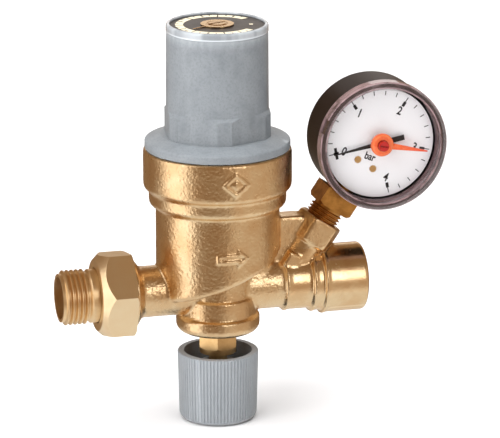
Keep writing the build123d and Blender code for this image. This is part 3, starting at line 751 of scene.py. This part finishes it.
def finishBrass():
    paint(turnedSkin("union_thread", threadBrass, pipeCentre, xAxis, 0.28, 0.15), "inlet_tailpiece")
    paint(castSkin("union_nut_brass", nutBrass, False), "union_nut")
    paint(turnedSkin("spindle_brass", turnedBrass, pipeCentre, zAxis),
          "gland", "shutoff_spindle", "obturator", "diaphragm_washer", "spring_carrier", "shutoff_plug")
    paint(turnedSkin("screw_brass", screwBrass, pipeCentre, zAxis, 0.16, 0.2), "setting_screw")
    paint(turnedSkin("gilt_washer", screwBrass, pipeCentre, zAxis, 0.14, 0.15), "setting_indicator")
    paint(turnedSkin("gauge_brass", gaugeBrass, gaugeCentre, tuple(gaugeUp), 0.26, 0.8),
          "gauge_stem", "bourdon_tube", "tube_link")
    paint(turnedSkin("movement_brass", turnedBrass, gaugeCentre, tuple(gaugeOut)),
          "movement_front_plate", "movement_back_plate", "pinion_shaft", "sector_gear", "dial_screws")


def finishSteel():
    paint(turnedSkin("spring_wire", steel, pipeCentre, zAxis, 0.3),
          "setting_spring", "check_spring", "hairspring")
    paint(turnedSkin("zinc_plate", steel, pipeCentre, zAxis, 0.32),
          "spring_plate", "stem_nut", "knob_screw")
    paint(turnedSkin("stainless_sleeve", steel, pipeCentre, zAxis, 0.26), "strainer")


def finishPlastic():
    worn = (0.62, 0.66, 0.70)
    paint(moulded("bonnet_grey", plainPlastic["bonnet"], worn, 0.5), "bonnet")
    paint(moulded("knob_grey", plainPlastic["knob"], worn, 0.2), "knob")
    paint(ringSkin(ringLook), "dial_ring")
    paint(caseSkin(plainPlastic["case"]), "gauge_case")
    paint(moulded("natural_acetal", plainPlastic["acetal"]),
          "seat_cartridge", "stem_guide", "check_housing", "check_poppet", "slip_ring")
    paint(moulded("dial_black", plainPlastic["black"], None, 0.1), "setting_dial")
    paint(moulded("needle_black", plainPlastic["black"], None, 0.05), "gauge_needle")
    paint(moulded("rubber_black", plainPlastic["rubber"]),
          "diaphragm", "obturator_seal", "cartridge_o_ring", "plug_seal", "gland_o_ring", "check_o_ring")
    paint(moulded("fibre_red", plainPlastic["fibre"]), "union_gasket", "gauge_washer")
    paint(dialSkin(dialLook), "dial_plate")
    paint(pointerSkin(pointerLook), "set_pointer")
    paint(lensSkin(lensLook), "gauge_lens")


def finishNodes():
    finishBrass()
    finishSteel()
    finishPlastic()
    print("finishes on", len(nodes), "nodes")


# camera and studio

view = {
    "azimuth": -15.0,
    "elevation": 16.0,
    "distance": 1.5,
    "aimRight": 0.0123,
    "aimUp": 0.0255,
    "frameMm": 190.84,        # width of the picture where the valve stands
    "sensorMm": 36.0,
}


def viewAxes(azimuth, elevation):
    a, e = math.radians(azimuth), math.radians(elevation)
    back = Vector((math.sin(a) * math.cos(e), -math.cos(a) * math.cos(e), math.sin(e)))
    right = Vector((math.cos(a), math.sin(a), 0))
    return right, back.cross(right), back


def makeCamera():
    right, up, back = viewAxes(view["azimuth"], view["elevation"])
    data = bpy.data.cameras.new("camera")
    data.sensor_width = view["sensorMm"]
    data.lens = view["distance"] / mm * view["sensorMm"] / view["frameMm"]
    data.clip_end = 20
    camera = bpy.data.objects.new("camera", data)
    camera.location = right * view["aimRight"] + up * view["aimUp"] + back * view["distance"]
    camera.rotation_euler = (-back).to_track_quat("-Z", "Y").to_euler()
    bpy.context.scene.collection.objects.link(camera)
    bpy.context.scene.camera = camera


# turn is measured from the camera's side, positive to its right
studio = {
    "floorColour": (0.93, 0.93, 0.94),
    "floorShade": (0.90, 0.90, 0.91),
    "floorReach": 6.0,
    "airColour": (0.265, 0.167, 0.094),
    "bounceColour": (0.84, 0.80, 0.76),  # from below, as off a pale table
    "bounceFrom": (-0.30, -0.72),
    # these show in the brass, and light everything
    "panels": {
        "key": {
            "turn": -68, "rise": 12, "distance": 1.0, "size": (0.86, 2.0),
            "power": 7.4, "colour": (1, 0.985, 0.97),
        },
        "fill": {
            "turn": 62, "rise": -6, "distance": 1.1, "size": (1.7, 1.5),
            "power": 2.3, "colour": (1, 0.90, 0.78),
        },
        "front": {
            "turn": 31, "rise": 20, "distance": 1.2, "size": (0.26, 0.62),
            "power": 1.6, "colour": (1, 1, 1),
        },
        "back": {
            "turn": 180, "rise": 16, "distance": 1.2, "size": (0.7, 0.3),
            "power": 0.6, "colour": (1, 1, 1),
        },
    },
    # these don't show in the brass, and light the plastics and the floor
    "softBoxes": {
        "overhead": {
            "turn": 0, "rise": 88, "distance": 1.6, "size": (2.2, 2.2),
            "power": 58, "colour": (1, 1, 1),
        },
        "camera_side": {
            "turn": -35, "rise": 22, "distance": 1.3, "size": (0.9, 0.9),
            "power": 9, "colour": (1, 1, 1),
        },
    },
}


def makePanel(name, look):
    right, up, back = viewAxes(view["azimuth"] + look["turn"], look["rise"])
    data = bpy.data.lights.new(name, "AREA")
    data.shape = "RECTANGLE"
    data.size, data.size_y = look["size"]
    data.energy = look["power"]
    data.color = look["colour"]
    lamp = bpy.data.objects.new(name, data)
    lamp.location = back * look["distance"]
    lamp.rotation_euler = back.to_track_quat("Z", "Y").to_euler()
    bpy.context.scene.collection.objects.link(lamp)
    return lamp


def makeAir():
    # for reflections, not for light: warm and dark, paler from below
    world = bpy.data.worlds.new("studio_air")
    world.use_nodes = True
    air = Nodes(world.node_tree)
    aim = air.add("ShaderNodeTexCoord", {}, {}, "Generated")
    height = air.add("ShaderNodeSeparateXYZ", {}, {0: aim}, "Z")
    high, low = studio["bounceFrom"]
    share = (-1 * height).ramp(-high, -low)
    tone = air.mix(share, studio["airColour"], studio["bounceColour"])
    light = air.add("ShaderNodeBackground", {}, {"Color": tone})
    air.add("ShaderNodeOutputWorld", {}, {"Surface": light}, None)
    bpy.context.scene.world = world
    world.cycles_visibility.diffuse = False


def makeFloor():
    level = Matrix.Translation((0, 0, cadLow.z - 0.2 * mm))
    shape = bmesh.new()
    bmesh.ops.create_grid(shape, x_segments=8, y_segments=8, size=studio["floorReach"], matrix=level)
    mesh = bpy.data.meshes.new("floor")
    shape.to_mesh(mesh)
    shape.free()
    recipe = Recipe("floor_pale", {"Roughness": 0.9})
    cloud = recipe.noise(300.0, 2.0, 0.5)
    recipe.give(Base_Color=recipe.mix(cloud * 0.3, studio["floorColour"], studio["floorShade"]))
    mesh.materials.append(recipe.material)
    floor = bpy.data.objects.new("floor", mesh)
    floor.visible_glossy = False
    bpy.context.scene.collection.objects.link(floor)


def makeStudio():
    makeAir()
    for name, look in studio["panels"].items():
        makePanel(name, look)
    for name, look in studio["softBoxes"].items():
        makePanel(name, look).visible_glossy = False
    makeFloor()
    bpy.context.scene.view_settings.view_transform = "Standard"
    print("studio set")


# springs: copies of the spring parts, the setting spring cut into two halves

def bentSpring(name, node, still, end, half):
    # a half is cut off at the point that stays still, keeping the side towards the end
    piece = bpy.data.objects.new(name, nodes[node].data.copy())
    bpy.context.scene.collection.objects.link(piece)
    if half:
        shape = bmesh.new()
        shape.from_mesh(piece.data)
        whole = shape.verts[:] + shape.edges[:] + shape.faces[:]
        away = still - end
        cut = bmesh.ops.bisect_plane(shape, geom=whole, plane_co=still, plane_no=away, clear_outer=True)
        rim = [part for part in cut["geom_cut"] if isinstance(part, bmesh.types.BMEdge)]
        bmesh.ops.holes_fill(shape, edges=rim)
        shape.to_mesh(piece.data)
        shape.free()
    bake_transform(piece)
    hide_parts(node)


def makeSprings():
    low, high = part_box("setting_spring")
    foot, top = Vector((0, 0, low.z)), Vector((0, 0, high.z))
    middle = (foot + top) / 2
    bentSpring("setting_spring_lower", "setting_spring", middle, foot, True)
    bentSpring("setting_spring_upper", "setting_spring", middle, top, True)
    low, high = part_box("check_spring")
    still, end = Vector((high.x, 0, 0)), Vector((low.x, 0, 0))
    bentSpring("check_spring_coil", "check_spring", still, end, False)
    print("springs made")


makeCamera()
makeStudio()
finishNodes()
makeCastBody()
makeSprings()
makeGaugePrint()
makeSettingPrint()
